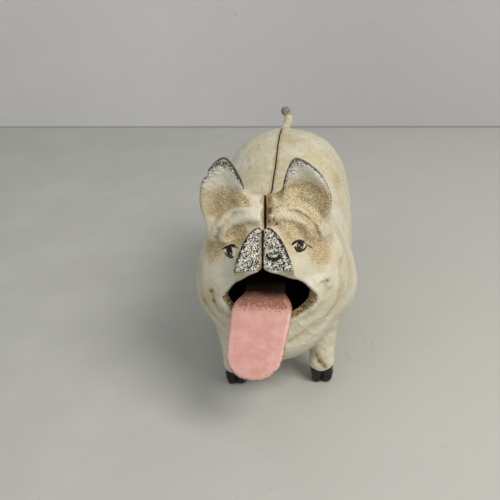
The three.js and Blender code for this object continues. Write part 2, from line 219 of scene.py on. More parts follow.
def ear_outline(p, side):
    """Distance from the ear's edge, seen from the front. The right ear is taller and notched."""
    x, z = p[0], p[2]
    if side < 0:
        above = np.maximum(z - 97, 0)
        x = x - 0.075 * above
        z = z - 0.075 * above
    outer = np.hypot(x - 5.7, z - 97.1) - 23.9
    inner = np.hypot(x - 38.5, z - 101.0) - 30.5
    leaf = soft_max(outer, inner, 2.5)
    if side < 0:
        notch = (x - EAR_NOTCH[0]) ** 2 + (z - EAR_NOTCH[1]) ** 2
        leaf = leaf + 1.5 * np.exp(-notch / 2.5)
    return leaf


def ear(p, side):
    leaf = ear_outline(p, side)
    middle = -50.2 - 0.08 * (p[2] - 100)
    dish = 1.9 * smooth_step(0.5, 8, -leaf)
    swell = 0.8 * smooth_step(0, 10, -leaf)
    return soft_max(leaf, band(p[1], middle - 2.0 + dish, middle + 1.7 + swell), 1.5)


FRONT_HOOF = {1: (21.6, -44.9), -1: (21.4, -46.2)}
REAR_HOOF = (22.0, 51.0)
HOOF_HEIGHT = 8.8


def leg(p, hip, hoof, hip_radius):
    """A shin with two lobes at its ankle, over a cloven hoof. hoof is the hoof's x and y."""
    shin = bone(p, hip, (*hoof, 9), hip_radius, 6.0)
    lobes = [egg(p, (hoof[0] + shift, hoof[1] - 1.8, 10.4), (3.4, 4.4, 4)) for shift in (-2.6, 2.6)]
    shin = soft_min(shin, np.minimum(*lobes), 1.5)
    shin = soft_max(shin, 6.8 - p[2], 0.8)
    sides = rounded_box(p, (hoof[0], hoof[1] - 0.3, 4.4), (5.5, 5.7, 12), 2.8)
    taper = 0.16 * np.clip(5.5 - p[2], 0, 5.5)
    dents = 0.35 * lumps(p, 1.5)
    horn = soft_max(sides + taper + dents, band(p[2], 0, HOOF_HEIGHT), 2.2)
    cleft = 1.1 * np.exp(-((p[0] - hoof[0]) / 0.8) ** 2) * smooth_step(hoof[1] - 2, hoof[1] - 5, p[1])
    return soft_min(shin, horn + cleft, 0.6)


def legs(p, side):
    front = leg(p, (22.6, -42.5, 30), FRONT_HOOF[side], 7.2)
    rear = leg(p, (24, 48, 32), REAR_HOOF, 11.5)
    return np.minimum(front, rear)


MOUTH_HALF_WIDTH = {1: 20.8, -1: 20.0}
ARCH_CURVE = {1: 0.0004, -1: 0.0006}
MOUTH_LEVEL = 60  # z where the arch meets the bowl
BOWL_DEPTH = 12.5


def mouth_ring(p, side):
    """Distance from the mouth's edge, seen from the front: an arch over a bowl."""
    x, z = p[0], p[2]
    half = MOUTH_HALF_WIDTH[side]
    arch = (z - (80 - 0.8 * x - ARCH_CURVE[side] * x ** 3)) * 0.72
    bowl = (np.hypot(x / half, (z - MOUTH_LEVEL) / BOWL_DEPTH) - 1) * BOWL_DEPTH
    return np.where(z > MOUTH_LEVEL, np.maximum(arch, x - half), bowl)


def mouth(p, side):
    """The opening's lower lip slopes inwards, more so on the pig's left."""
    lip = (2.6 if side > 0 else 1.4) * smooth_step(-68, -61, p[1]) * smooth_step(67, 58, p[2])
    return soft_max(mouth_ring(p, side) + lip, band(p[1], -110, -46), 0.3)


# Lines that the skin's ridges and folds follow
BROW = [
    (3, -56.4, 94.4), (8, -54.7, 94.6), (11.8, -54, 93.2),
    (15.3, -53.7, 91), (18.2, -54.2, 87.5), (19.6, -55.6, 84),
]
BROW_FOLD = [
    (8, -53.6, 95.8), (13.5, -52.8, 94.6), (18.2, -52.5, 91.4),
    (21.6, -52.5, 87.4), (23, -53, 83.5),
]
UPPER_BROW = [
    (7, -52.9, 96.4), (11.1, -52, 97.1), (15.4, -51.8, 95.4),
    (19.3, -51.6, 92.3), (23.4, -51.3, 88), (25.2, -51.2, 83),
]
CORNER_RIM = [(20.6, -65.6, 63.6), (22.4, -65.1, 60.2), (21.8, -65.6, 56), (19.4, -66.2, 52)]
CORNER_BUMP = [(22.4, -64.5, 65.2), (24.2, -63.4, 65.9), (26.4, -62.5, 64.6), (27.2, -62.6, 62)]
INNER_FOLD = [
    (26.2, -63.6, 60.5), (25.9, -63.8, 55.4), (23.9, -64.2, 50.8),
    (20.7, -65.4, 49.0), (18.5, -66, 48),
]
OUTER_FOLD = [(33.6, -54.6, 52), (32, -56.3, 47.5), (29.2, -58.1, 44.1), (26.3, -59.9, 42.5)]
JOWL = [
    (33.5, -50, 67), (33.4, -55.5, 59), (31.6, -57.7, 50.1),
    (26.4, -60.6, 43.6), (17.3, -65.8, 39.4), (9, -68.2, 35.2),
]
NOSTRIL = [
    (1.6, -78.2, 84.6), (2.6, -78.8, 83.6), (4.3, -79.3, 83.1),
    (6.2, -79.1, 83.2), (7.2, -78.3, 84.1),
]
EYE = (16.3, -61.3, 80.2)
# Height, place and reach of the hollow over an eye, its socket and the eye itself
EYE_RELIEF = [(-2.2, (15.5, -59.5, 84.5), 5.5), (-0.9, EYE, 7.5), (1.3, EYE, 3.6)]

# Height, width and line of each ridge and fold, on the pig's left side (+X) and its right
RELIEF = {
    1: [
        (2.5, 2.7, BROW), (-1.0, 1.1, BROW_FOLD), (1.6, 1.7, UPPER_BROW), (0.9, 2.3, CORNER_RIM),
        (1.0, 1.4, CORNER_BUMP), (-1.3, 2.2, JOWL), (-1.2, 0.8, NOSTRIL),
    ],
    -1: [
        (3.2, 2.9, BROW), (-1.1, 1.0, BROW_FOLD), (1.4, 1.7, UPPER_BROW), (1.0, 2.2, CORNER_RIM),
        (-1.3, 1.1, INNER_FOLD), (-1.5, 1.3, OUTER_FOLD), (-1.0, 2.2, JOWL),
    ],
}


DEPTH_SHARE = 0.35  # the lines are given as seen from the front, so depth counts for less


def gaussian(distance, width):
    return np.exp(-((distance / width) ** 2))


def blob(p, at, width):
    return gaussian(length(*offset_from(p, at)), width)


def lumps(p, scale):
    """A smooth wandering field between about -1 and 1, for the unevenness of a casting."""
    x, y, z = p[0] / scale, p[1] / scale, p[2] / scale
    first = np.sin(1.3 * x + 2.1 * np.sin(0.7 * z + 1) + 0.4) * np.sin(1.1 * y + 1.7 * np.sin(0.9 * x))
    second = np.sin(2.3 * z - 0.8 * x + 1.1) * np.sin(1.9 * y + 0.9 * z)
    return 0.6 * first + 0.4 * second


def skin_relief(p, side):
    """How far the skin stands proud of the plain form."""
    height = np.zeros_like(p[0])
    for tall, width, points in RELIEF[side]:
        height += tall * gaussian(line_distance(p, points, DEPTH_SHARE), width)
    height *= smooth_step(-36, -44, p[1])
    height += sum(tall * blob(p, at, reach) for tall, at, reach in EYE_RELIEF)
    height += 0.55 * gaussian(mouth_ring(p, side) - 1.6, 1.3) * smooth_step(-52, -58, p[1])
    on_forehead = smooth_step(88, 91, p[2]) * smooth_step(-48, -53, p[1]) * smooth_step(-69, -66, p[1])
    reach, deep = (2.6, 1.3) if side > 0 else (1.5, 0.9)
    height -= deep * on_forehead * np.clip(1 - (p[0] - SEAM) / reach, 0, 1)
    if side < 0:
        down, out = snout_axes(p)
        on_disc = smooth_step(-3, -1, out) * smooth_step(-1, 1, down)
        height -= 0.9 * on_disc * np.clip(1 - (p[0] - SEAM) / 2.0, 0, 1)
    height += blob(p, (1.5, TAIL_PIVOT[0] + 0.5, 96.0), 4.2)
    height -= 0.5 * patches(p, DIRT_PATCHES[side]) * (0.6 + 0.8 * lumps(p, 1.1))
    return height + 0.22 * lumps(p, 7.0) + 0.1 * lumps(p, 2.6)


def plain_form(p, side):
    d = soft_min(torso(p, side), head(p), 5)
    d = soft_min(d, snout(p), 2)
    d = soft_min(d, ear(p, side), 4)
    return soft_min(d, legs(p, side), 4)


# ---- The two castings ----

SCREWS = {"body_screw_front": (-13, 33), "body_screw_rear": (55, 42)}  # y and z of each screw
SCREW_SEAT = 27
SCREW_REACH = 13
SCREW_HEAD = 4.0
SCREW_SHANK = 1.9
BOSS_RADIUS = 6
BOSS_REACH = 45  # past the skin, which cuts the bosses short
TONGUE_BOSS_X = 10
TAIL_BOSS_X = 5.4
SLOT_HALF_WIDTH = 4.6
SLOT_FLARE = 2.0  # how much each side opens out towards the back, clear of the tail's kink
SLOT_FRONT = 70.6
SLOT_FLOOR = 78.2
TRAP_Y = 12
TRAP_RING = 18.5
TRAP_HOLE = 13.5
TRAP_COVER = 16
TRAP_UPPER = 60  # well inside the belly
TRAP_BOTTOM = 14.6
COVER_BOTTOM = 15.0
TRAP_SEAT = 17.6
TRAP_TOP = 21.8


def trap_bar(p, z0, z1, radius, rounding=0.4):
    """A round bar upright through the coin trap."""
    around = np.hypot(p[0], p[1] - TRAP_Y) - radius
    return soft_max(around, band(p[2], z0, z1), rounding)


def bosses(p):
    """What holds the pins and the screws inside the castings."""
    columns = [
        cross_bar(p, TONGUE_PIVOT, TONGUE_BOSS_X, BOSS_REACH, HUB_RADIUS),
        cross_bar(p, TAIL_PIVOT, TAIL_BOSS_X, BOSS_REACH, HUB_RADIUS),
    ]
    columns += [cross_bar(p, place, -5, BOSS_REACH, BOSS_RADIUS) for place in SCREWS.values()]
    return np.minimum.reduce(columns)


def casting_cuts(p, side):
    """Cut out of a casting: the pin holes, the screw holes, the trap and the slot for the tail."""
    slot_side = SLOT_HALF_WIDTH + SLOT_FLARE * smooth_step(82, 87, p[1])
    cuts = [
        cross_bar(p, TONGUE_PIVOT, -2, TONGUE_BOSS_X + PIN_END + GAP, PIN_HOLE),
        cross_bar(p, TAIL_PIVOT, -2, TAIL_BOSS_X + PIN_END + GAP, PIN_HOLE),
        trap_bar(p, -5, TRAP_UPPER, TRAP_HOLE),
        trap_bar(p, -5, TRAP_SEAT, TRAP_COVER + GAP),
        np.maximum(p[0] - slot_side, np.maximum(SLOT_FRONT - p[1], SLOT_FLOOR - p[2])),
    ]
    shank_end = SCREW_SEAT + 1 if side < 0 else SCREW_REACH + GAP
    for place in SCREWS.values():
        cuts.append(cross_bar(p, place, -2, shank_end, SCREW_SHANK + GAP))
        if side < 0:
            cuts.append(cross_bar(p, place, SCREW_SEAT, 60, SCREW_HEAD + GAP))
    return np.minimum.reduce(cuts)


def casting(p, side):
    """One half of the pig, with p's x measured outwards from the seam."""
    q = (np.abs(p[0]), p[1], p[2])
    body = soft_min(torso(q, side), head(q), 5)
    outer = plain_form(q, side)
    near = np.abs(outer) < 4  # the relief is slow to work out, so only near the skin
    outer[near] -= skin_relief(tuple(one[near] for one in q), side)
    d = soft_max(outer, -(body + WALL), 0.5)
    d = soft_min(d, soft_max(bosses(q), body + 0.5, 0.5), 1.2)
    d = np.minimum(d, trap_bar(q, TRAP_BOTTOM, TRAP_TOP, TRAP_RING))
    d = soft_max(d, -mouth(q, side), 0.9)
    d = soft_max(d, -casting_cuts(q, side), 0.3)
    d = soft_max(d, SEAM - p[0], 0.3)
    return np.maximum(d, -p[2])


# ---- Tongue, tail and link ----

TONGUE_SHOULDER = np.array([-2.45, -72.0, 60.0])
TONGUE_SLOPE = math.radians(49.6)
TONGUE_LEAN = math.radians(5.5)
TONGUE_LENGTH = 35.5
TONGUE_HALF_WIDTH = 13.5
TONGUE_THICKNESS = 3.6
TONGUE_CORNER = 11
TONGUE_TAPER = 1.4
TONGUE_BACK = 4  # how far the plate reaches back over its shoulder
NECK_LINE = [(0.4, -1.4), (5.4, 3.8), (11.5, 5.1), (17.2, 3.5)]  # y and z from the shoulder
NECK_X = (-9.6, 7.6)
NECK_HALF_THICKNESS = 1.75
LUG_X = (-6, 2)
ARM_HALF_THICKNESS = 1.9
LINK_HOLE = 1.5
LINK_RADIUS = 1.2
LINK_RUN_X = 4.7
TAIL_HUB_HALF = 2.5

across = np.array([1.0, 0.0, 0.0])
down_slope = np.array([0.0, -math.cos(TONGUE_SLOPE), -math.sin(TONGUE_SLOPE)])
TONGUE_ACROSS = across * math.cos(TONGUE_LEAN) + down_slope * math.sin(TONGUE_LEAN)
TONGUE_DOWN = down_slope * math.cos(TONGUE_LEAN) - across * math.sin(TONGUE_LEAN)
TONGUE_INWARDS = np.cross(across, down_slope)


def tongue_axes(p):
    """Distance across the tongue, down it and into it from its upper face."""
    q = offset_from(p, TONGUE_SHOULDER)
    axes = (TONGUE_ACROSS, TONGUE_DOWN, TONGUE_INWARDS)
    return [sum(q[i] * axis[i] for i in range(3)) for axis in axes]


def tongue_outline(u, v):
    """Distance from the plate's edge, seen square on, negative inside. It narrows towards its tip."""
    middle = (TONGUE_LENGTH - TONGUE_BACK) / 2
    radius = np.where(v > middle, TONGUE_CORNER, np.where(u < 0, 10.5, 7.0))
    narrowing = TONGUE_TAPER * smooth_step(2, TONGUE_LENGTH, v)
    a = np.abs(u + narrowing) - (TONGUE_HALF_WIDTH - narrowing - radius)
    b = np.abs(v - middle) - ((TONGUE_LENGTH + TONGUE_BACK) / 2 - radius)
    corner = np.hypot(np.maximum(a, 0), np.maximum(b, 0)) + np.minimum(np.maximum(a, b), 0)
    return corner - radius


def flat_chain(p, points, x0, x1, radius, rounding=0.6):
    """A strap of even thickness that follows (y, z) points, between two x."""
    flat = (np.zeros_like(p[0]), p[1], p[2])
    d = line_distance(flat, [(0, y, z) for y, z in points]) - radius
    return soft_max(d, band(p[0], x0, x1), rounding)


def link_arm(p, pivot, end):
    arm = flat_chain(p, [pivot, end], -ARM_HALF_THICKNESS, ARM_HALF_THICKNESS, 2.5, 0.4)
    eye = cross_bar(p, end, -ARM_HALF_THICKNESS, ARM_HALF_THICKNESS, 2.8)
    return soft_min(arm, eye, 0.5)


def pivot_holes(p, pivot, end):
    return np.minimum(cross_bar(p, pivot, -50, 50, PIN_HOLE), cross_bar(p, end, -50, 50, LINK_HOLE))


def tongue(p):
    u, v, w = tongue_axes(p)
    edge = tongue_outline(u, v)
    crown = 0.35 - 0.35 * smooth_step(-7, -1, edge) - 0.12 * lumps(p, 6.0)
    plate = soft_max(edge, band(w, -crown, TONGUE_THICKNESS), 1.7)
    neck_points = [(TONGUE_SHOULDER[1] + y, TONGUE_SHOULDER[2] + z) for y, z in NECK_LINE]
    neck = flat_chain(p, neck_points, *NECK_X, NECK_HALF_THICKNESS, 1.4)
    y0, z0 = TONGUE_PIVOT
    lug = flat_chain(p, [(y0 + 2.6, TONGUE_SHOULDER[2] + 2.2), (y0 + 1.4, z0)], *LUG_X, 2.1)
    d = soft_min(plate, neck, 3.0)
    d = soft_min(d, lug, 1.5)
    d = soft_min(d, cross_bar(p, TONGUE_PIVOT, *LUG_X, HUB_RADIUS), 1.0)
    d = np.minimum(d, link_arm(p, TONGUE_PIVOT, LINK_FRONT))
    return soft_max(d, -pivot_holes(p, TONGUE_PIVOT, LINK_FRONT), 0.3)


# x, y from the pivot, z from the pivot and radius along the tail
TAIL_ROUTE = [
    (0, 0, 0, 2.5),
    (0, 3.6, 8, 2.6),
    (0.4, 6.6, 13, 2.7),
    (1.7, 7.6, 16, 2.6),
    (3.1, 8.0, 18.6, 2.5),
    (3.6, 8.4, 21.4, 2.35),
    (2.9, 8.7, 23.6, 2.2),
    (2.1, 8.8, 25.0, 2.2),
]
TAIL_KNOB = (1.9, 8.8, 25.4)
KNOB_RADIUS = 2.6


def tail(p):
    y0, z0 = TAIL_PIVOT
    route = [((x, y0 + y, z0 + z), radius) for x, y, z, radius in TAIL_ROUTE]
    stem = bone(p, route[0][0], route[1][0], route[0][1], route[1][1])
    for (a, radius_a), (b, radius_b) in zip(route[1:], route[2:]):
        stem = soft_min(stem, bone(p, a, b, radius_a, radius_b), 0.5)
    knob_at = (TAIL_KNOB[0], y0 + TAIL_KNOB[1], z0 + TAIL_KNOB[2])
    knob = egg(p, knob_at, (KNOB_RADIUS, KNOB_RADIUS, KNOB_RADIUS * 0.95))
    stem = soft_min(stem, knob, 0.8) - 0.12 * lumps(p, 2.2)
    d = soft_min(stem, cross_bar(p, TAIL_PIVOT, -TAIL_HUB_HALF, TAIL_HUB_HALF, HUB_RADIUS), 0.8)
    d = np.minimum(d, link_arm(p, TAIL_PIVOT, LINK_BACK))
    return soft_max(d, -pivot_holes(p, TAIL_PIVOT, LINK_BACK), 0.3)


def link_rod(p):
    d = bone(p, (LINK_RUN_X, *LINK_FRONT), (LINK_RUN_X, *LINK_BACK), LINK_RADIUS, LINK_RADIUS)
    head_x = -ARM_HALF_THICKNESS - GAP
    for end in (LINK_FRONT, LINK_BACK):
        hook = bone(p, (head_x - 0.4, *end), (LINK_RUN_X, *end), LINK_RADIUS, LINK_RADIUS)
        d = soft_min(d, hook, 0.4)
        d = np.minimum(d, cross_bar(p, end, head_x - 1.2, head_x, LINK_RADIUS + 0.9, 0.5))
    return d


# ---- Pins, spacers, screws and the trap ----

THREAD_PITCH = 1.0
THREAD_DEPTH = 0.3
SCREW_SLOT = 0.6  # half of its width
BODY_HEAD = (2, 1)  # height of a body screw's head, and depth of its slot
TRAP_HEAD = (1.8, 0.9)


def pin(p, pivot, boss_x):
    end = boss_x + PIN_END
    return cross_bar(p, pivot, -end, end, PIN_RADIUS, 0.5)


def spacer(p, pivot, x0, x1):
    """A tube that fills the space from x0 to x1 on a pin."""
    tube = cross_bar(p, pivot, x0 + GAP, x1 - GAP, PIN_HOLE + 0.8)
    return soft_max(tube, -cross_bar(p, pivot, x0 - 5, x1 + 5, PIN_HOLE), 0.2)


def thread(along, around, angle):
    """A threaded shank, cut into a bar of the screw's full radius."""
    wave = 0.5 - 0.5 * np.cos(2 * math.pi * along / THREAD_PITCH - angle)
    return around - SCREW_SHANK + THREAD_DEPTH * wave


def screw(head_end, shank_end, along, side_a, side_b, head_height, slot_depth):
    """A slotted head on a threaded shank. along increases from the head's outer face to the tip."""
    around = np.hypot(side_a, side_b)
    head = soft_max(around - SCREW_HEAD, band(along, head_end, head_end + head_height), 0.7)
    shank = thread(along, around, np.arctan2(side_b, side_a))
    shank = soft_max(shank, band(along, head_end + 0.5, shank_end), 0.5)
    slot = np.maximum(np.abs(side_b) - SCREW_SLOT, along - head_end - slot_depth)
    return soft_max(soft_min(head, shank, 0.2), -slot, 0.15)


def body_screw(p, place):
    outer = SCREW_SEAT + GAP + BODY_HEAD[0]
    return screw(-outer, SCREW_REACH, p[0], p[1] - place[0], p[2] - place[1], *BODY_HEAD)


def trap_screw(p):
    head_end = COVER_BOTTOM - GAP - TRAP_HEAD[0]
    return screw(head_end, TRAP_TOP + 5, p[2], p[0], p[1] - TRAP_Y, *TRAP_HEAD)


def trap_cover(p):
    """A disc with a groove pressed into its outer face."""
    disc = trap_bar(p, COVER_BOTTOM, TRAP_SEAT - GAP, TRAP_COVER, 0.7)
    groove = 0.5 * gaussian(np.hypot(p[0], p[1] - TRAP_Y) - 12.6, 0.9) * smooth_step(16.5, 15, p[2])
    hole = trap_bar(p, 0, TRAP_UPPER, SCREW_SHANK + GAP)
    return soft_max(disc + groove - 0.08 * lumps(p, 4.0), -hole, 0.2)


def trap_bridge(p):
    reach = TRAP_HOLE + 3.5
    strap = rounded_box(p, (0, TRAP_Y, TRAP_TOP + 1.6), (4, reach, 1.3), 0.6)
    return soft_max(strap, -trap_bar(p, 0, TRAP_UPPER, SCREW_SHANK + GAP), 0.2)


# ---- Meshing ----


STEPS = np.eye(3, dtype=int)  # one step along each axis


def surface_net(values, axes):
    """The zero surface of a grid of values, as a vertex in each cell that it crosses, and quads."""
    inside = values < 0
    cell_shape = tuple(count - 1 for count in values.shape)
    corners = [(i, j, k) for i in (0, 1) for j in (0, 1) for k in (0, 1)]
    filled = np.zeros(cell_shape, np.int8)
    for corner in corners:
        filled += inside[tuple(slice(c, c + count) for c, count in zip(corner, cell_shape))]
    cells = np.argwhere((filled > 0) & (filled < 8))
    number = np.full(cell_shape, -1, np.int64)
    number[tuple(cells.T)] = np.arange(len(cells))

    total = np.zeros((len(cells), 3))
    crossings = np.zeros(len(cells))
    for axis, step in enumerate(STEPS):
        for corner in corners:
            if corner[axis]:
                continue
            start = cells + np.array(corner)
            a = values[tuple(start.T)]
            b = values[tuple((start + step).T)]
            crossing = (a < 0) != (b < 0)
            share = np.where(crossing, a / np.where(crossing, a - b, 1), 0)
            point = np.stack([axes[i][start[:, i]] for i in range(3)], axis=1)
            point[:, axis] += share * (axes[axis][start[:, axis] + 1] - axes[axis][start[:, axis]])
            total += point * crossing[:, None]
            crossings += crossing

    quads = []
    for axis in range(3):
        u, v = STEPS[(axis + 1) % 3], STEPS[(axis + 2) % 3]
        whole = [slice(1, -1)] * 3
        near, far = list(whole), list(whole)
        near[axis], far[axis] = slice(0, -1), slice(1, None)
        first, second = inside[tuple(near)], inside[tuple(far)]
        edges = np.argwhere(first != second)
        leaving = first[tuple(edges.T)]
        edges = edges + 1
        edges[:, axis] -= 1
        around = [number[tuple((edges - shift).T)] for shift in (0 * u, u, u + v, v)]
        quad = np.stack(around, axis=1)
        quads.append(np.where(leaving[:, None], quad, quad[:, ::-1]))
    return total / crossings[:, None], np.concatenate(quads)


def slope_of(field, points, reach=0.05):
    """The field's value and unit slope at points."""
    columns = []
    for step in STEPS:
        ahead, behind = points + reach * step, points - reach * step
        columns.append(field(tuple(ahead.T)) - field(tuple(behind.T)))
    slope = np.stack(columns, axis=1)
    return field(tuple(points.T)), slope / np.maximum(np.linalg.norm(slope, axis=1), 1e-9)[:, None]


def net_of(field, axes, settle=2):
    """Meshes a field over a grid given by its three axes, then moves each vertex onto the surface."""
    values = np.empty([len(axis) for axis in axes], np.float64)
    for start in range(0, len(axes[0]), 12):
        slab = np.meshgrid(axes[0][start : start + 12], axes[1], axes[2], indexing="ij")
        values[start : start + 12] = field(tuple(slab))
    points, quads = surface_net(values, axes)
    largest = 0.5 * min(axis[1] - axis[0] for axis in axes)
    for _ in range(settle):
        value, normal = slope_of(field, points)
        points = points - np.clip(value, -largest, largest)[:, None] * normal
    return points, quads, slope_of(field, points)[1]


def even_axis(low, high, step):
    count = int(math.ceil((high - low) / step)) + 1
    return low + step * np.arange(count)


def node_axes(name, step, margin=1.0):
    low, high = node_box(name)
    return [even_axis(low[i] - margin, high[i] + margin, step) for i in range(3)]


def make_piece(name, field, axes, material, body, facts=None, mirror=1):
    """Meshes a field, gives it its painted facts and puts it in place of its CAD node."""
    points, quads, normals = net_of(field, axes)
    layers = facts(tuple(points.T)) if facts else {}
    if mirror < 0:
        points = points * [-1, 1, 1]
        normals = normals * [-1, 1, 1]
        quads = quads[:, ::-1]
    mesh = bpy.data.meshes.new(name)
    mesh.from_pydata((points * MM).tolist(), [], quads.tolist())
    mesh.polygons.foreach_set("use_smooth", [True] * len(mesh.polygons))
    for layer_name, layer_values in layers.items():
        layer = mesh.attributes.new(layer_name, "FLOAT", "POINT")
        layer.data.foreach_set("value", np.asarray(layer_values, np.float32))
    mesh.normals_split_custom_set_from_vertices(normals.tolist())
    mesh.materials.append(material)
    piece = bpy.data.objects.new(name, mesh)
    bpy.context.scene.collection.objects.link(piece)
    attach(piece, body)
    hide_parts(name)


# ---- Paint laid on at given places: how much of each colour a point has, from 0 to 1 ----

# Amount, place and reach of each sprayed patch of brown, on the pig's left side and on its right
BROWN_PATCHES = {
    1: [
        (0.75, (18, -51, 102.5), 7.5), (0.65, (25.5, -51, 99), 5.5), (0.55, (11, -51.5, 103), 4.5),
        (0.75, (3.5, -57, 94), 4.2), (0.5, (3.5, -52, 101), 3.6), (0.55, (14, -53, 94.6), 4.4),
        (0.6, (21, -51, 90.5), 4.6), (1.0, (14.5, -57.5, 86.2), 5.2), (0.55, (20.5, -56, 82), 4.6),
        (0.75, (24, -58, 74.5), 5.6), (0.5, (6, -55, 97.5), 4.5), (0.45, (8.5, -57, 90.5), 4),
        (0.35, (31, -44, 86), 7.5), (0.35, (30, -50, 68), 4), (0.4, (27, -62, 63.5), 3),
        (0.5, (31, 23.5, 80.9), 5), (0.4, (6, -10, 93.5), 6), (0.35, (5, 12, 94.5), 6),
        (0.35, (6, 40, 98), 6), (0.4, (19, -47, 18), 3.0), (0.5, (22.5, -49, 12.5), 3.0),
        (0.3, (12, -52.5, 97.5), 5), (0.3, (17, -52, 93), 6), (0.3, (34, -40, 55), 6),
        (0.26, (15, -54, 93), 12),
    ],
    -1: [
        (0.38, (15.5, -51, 102), 7), (0.3, (22, -51, 101), 7), (0.3, (9, -52.5, 101), 4.5),
        (0.3, (24, -50.5, 95), 5), (0.45, (8.5, -54.4, 97.4), 3.2), (1.0, (13.5, -57.5, 86.8), 5.0),
        (0.7, (20, -56.5, 83.5), 4.6), (0.85, (25.5, -54.5, 77), 4.8), (0.3, (29, -52, 66), 5),
        (0.3, (31, -48, 50), 5), (0.4, (32.5, -55, 50), 4), (0.3, (28, -62, 56), 4),
        (0.25, (16, -53, 94.5), 6), (0.25, (12, 5, 93), 9), (0.2, (15, -54, 93), 12),
    ],
}
# The same for each hollow worn down to dirt
DIRT_PATCHES = {
    1: [
        (1.0, (3.8, -57.6, 93.4), 1.0), (1.0, (2.0, -55.6, 96.2), 1.2), (1.0, (5.2, -59, 91.0), 1.1),
        (0.9, (1.6, -60, 92.6), 1.1), (0.8, (6.8, -59, 88.8), 0.9), (0.9, (3.4, -55, 98.2), 0.9),
        (0.8, (1.8, -53, 100.2), 1.1), (0.5, (3.4, -56.5, 95), 3.4), (0.4, (25, -63, 65), 2.4),
        (0.4, (15, -57.5, 85.5), 3.6), (0.8, (26.6, -63.2, 64.6), 1.0), (0.8, (20.6, -65.9, 57), 2.2),
        (0.9, (20.8, -50, 13.0), 1.8), (0.8, (23.5, -50, 10.4), 1.7), (0.7, (19.6, -49, 16.4), 1.3),
    ],
    -1: [
        (0.7, (27.2, -63.0, 60.0), 1.3), (0.8, (26.0, -63.9, 55.0), 1.2), (0.7, (32.6, -56, 49), 1.6),
        (0.5, (21.6, -65.8, 53), 1.4), (0.4, (13, -57.5, 86.5), 3.6), (0.35, (25.5, -54.5, 77.5), 3.4),
        (0.35, (30, -58, 50), 4.5),
    ],
}

DIRTY_FOLDS = {1: [BROW_FOLD], -1: [BROW_FOLD, INNER_FOLD, OUTER_FOLD]}


def patches(p, places):
    """The patches reach twice as far in depth as they do across."""
    total = np.zeros_like(p[0])
    for amount, at, reach in places:
        x, y, z = offset_from(p, at)
        total += amount * gaussian(length(x, y / 2, z), reach)
    return np.clip(total, 0, 1)


OUTER_EAR_FOOT = 95.5
INNER_EAR_FOOT = {1: 100, -1: 104.5}


def ear_paint(p, side):
    """Black sprayed along an ear's rim, and thicker towards its tip."""
    rim = np.abs(ear_outline(p, side))
    foot = OUTER_EAR_FOOT + (INNER_EAR_FOOT[side] - OUTER_EAR_FOOT) * smooth_step(20, 14, p[0])
    on_ear = smooth_step(-39, -43, p[1]) * smooth_step(-61, -55, p[1])
    on_ear *= smooth_step(-2.5, 2.5, p[2] - foot)
    toward_tip = smooth_step(101, 120, p[2])
    rim_paint = (0.5 + 0.28 * toward_tip) * gaussian(rim, 0.9)
    spray = (0.66 if side < 0 else 0.42) * toward_tip * gaussian(rim, 6.0)
    lower_spray = (0.42 if side < 0 else 0.34) * gaussian(rim, 2.8)
    if side < 0:
        rim_paint = rim_paint + 0.5 * blob(p, (11.5, -50.5, 112), 5)
    else:
        rim_paint = rim_paint + 0.3 * blob(p, (9.5, -50.5, 109), 4)
        spray = spray + 0.34 * blob(p, (10.5, -50.5, 111), 5.5) + 0.2 * blob(p, (15, -50.5, 119), 5)
    return np.maximum.reduce([rim_paint, spray, lower_spray]) * on_ear


def casting_facts(side):
    def facts(p):
        q = (np.abs(p[0]), p[1], p[2])
        down, out = snout_axes(q)
        nose = np.minimum(-snout_outline(q[0], down), out + 2.6)
        front = smooth_step(-55, -60, p[1])
        height = skin_relief(q, side)
        lines = [line_distance(q, points, DEPTH_SHARE) for points in DIRTY_FOLDS[side]]
        folds = 0.4 * sum(gaussian(line, 0.9) for line in lines)
        return {
            "depth": height - plain_form(q, side),
            "nose": np.clip(nose, -5, 5),
            "nostril": line_distance(q, NOSTRIL, DEPTH_SHARE) if side > 0 else np.full_like(down, 9.0),
            "brown": patches(q, BROWN_PATCHES[side]),
            "dirt": np.clip(patches(q, DIRT_PATCHES[side]) + folds, 0, 1),
            "black": ear_paint(q, side),
            "lip": np.clip(mouth_ring(q, side), -3, 6) + 6 * (1 - front),
            "relief": np.clip(height, -2, 2),
        }

    return facts


def tongue_facts(p):
    u, v, w = tongue_axes(p)
    return {"edge": np.clip(-tongue_outline(u, v), -3, 12), "down": v, "under": w}


def tail_facts(p):
    return {"height": p[2] - TAIL_PIVOT[1]}


# ---- Materials ----


def linear(red, green, blue):
    """A colour given as sRGB from 0 to 255."""
    shares = [value / 255 for value in (red, green, blue)]
    return tuple(c / 12.92 if c <= 0.04045 else ((c + 0.055) / 1.055) ** 2.4 for c in shares) + (1.0,)


class Value:
    """A number that varies over a painted surface. Arithmetic on it adds nodes to its paint."""

    def __init__(self, paint, socket):
        self.paint = paint
        self.socket = socket

    def __add__(self, other):
        return self.paint.number("ADD", self, other)

    def __mul__(self, other):
        return self.paint.number("MULTIPLY", self, other)

    def __sub__(self, other):
        return self.paint.number("SUBTRACT", self, other)

    def __rsub__(self, other):
        return self.paint.number("SUBTRACT", other, self)

    def __abs__(self):
        return self.paint.number("ABSOLUTE", self)

    __radd__ = __add__
    __rmul__ = __mul__

    def step(self, low, high):
        """A smooth step from 0 to 1 as this goes from low to high. low may be above high."""
        start = float(low > high)
        inputs = {0: self, 1: min(low, high), 2: max(low, high), 3: start, 4: 1 - start}
        node = self.paint.node("MapRange", inputs, interpolation_type="SMOOTHSTEP")
        return Value(self.paint, node.outputs[0])


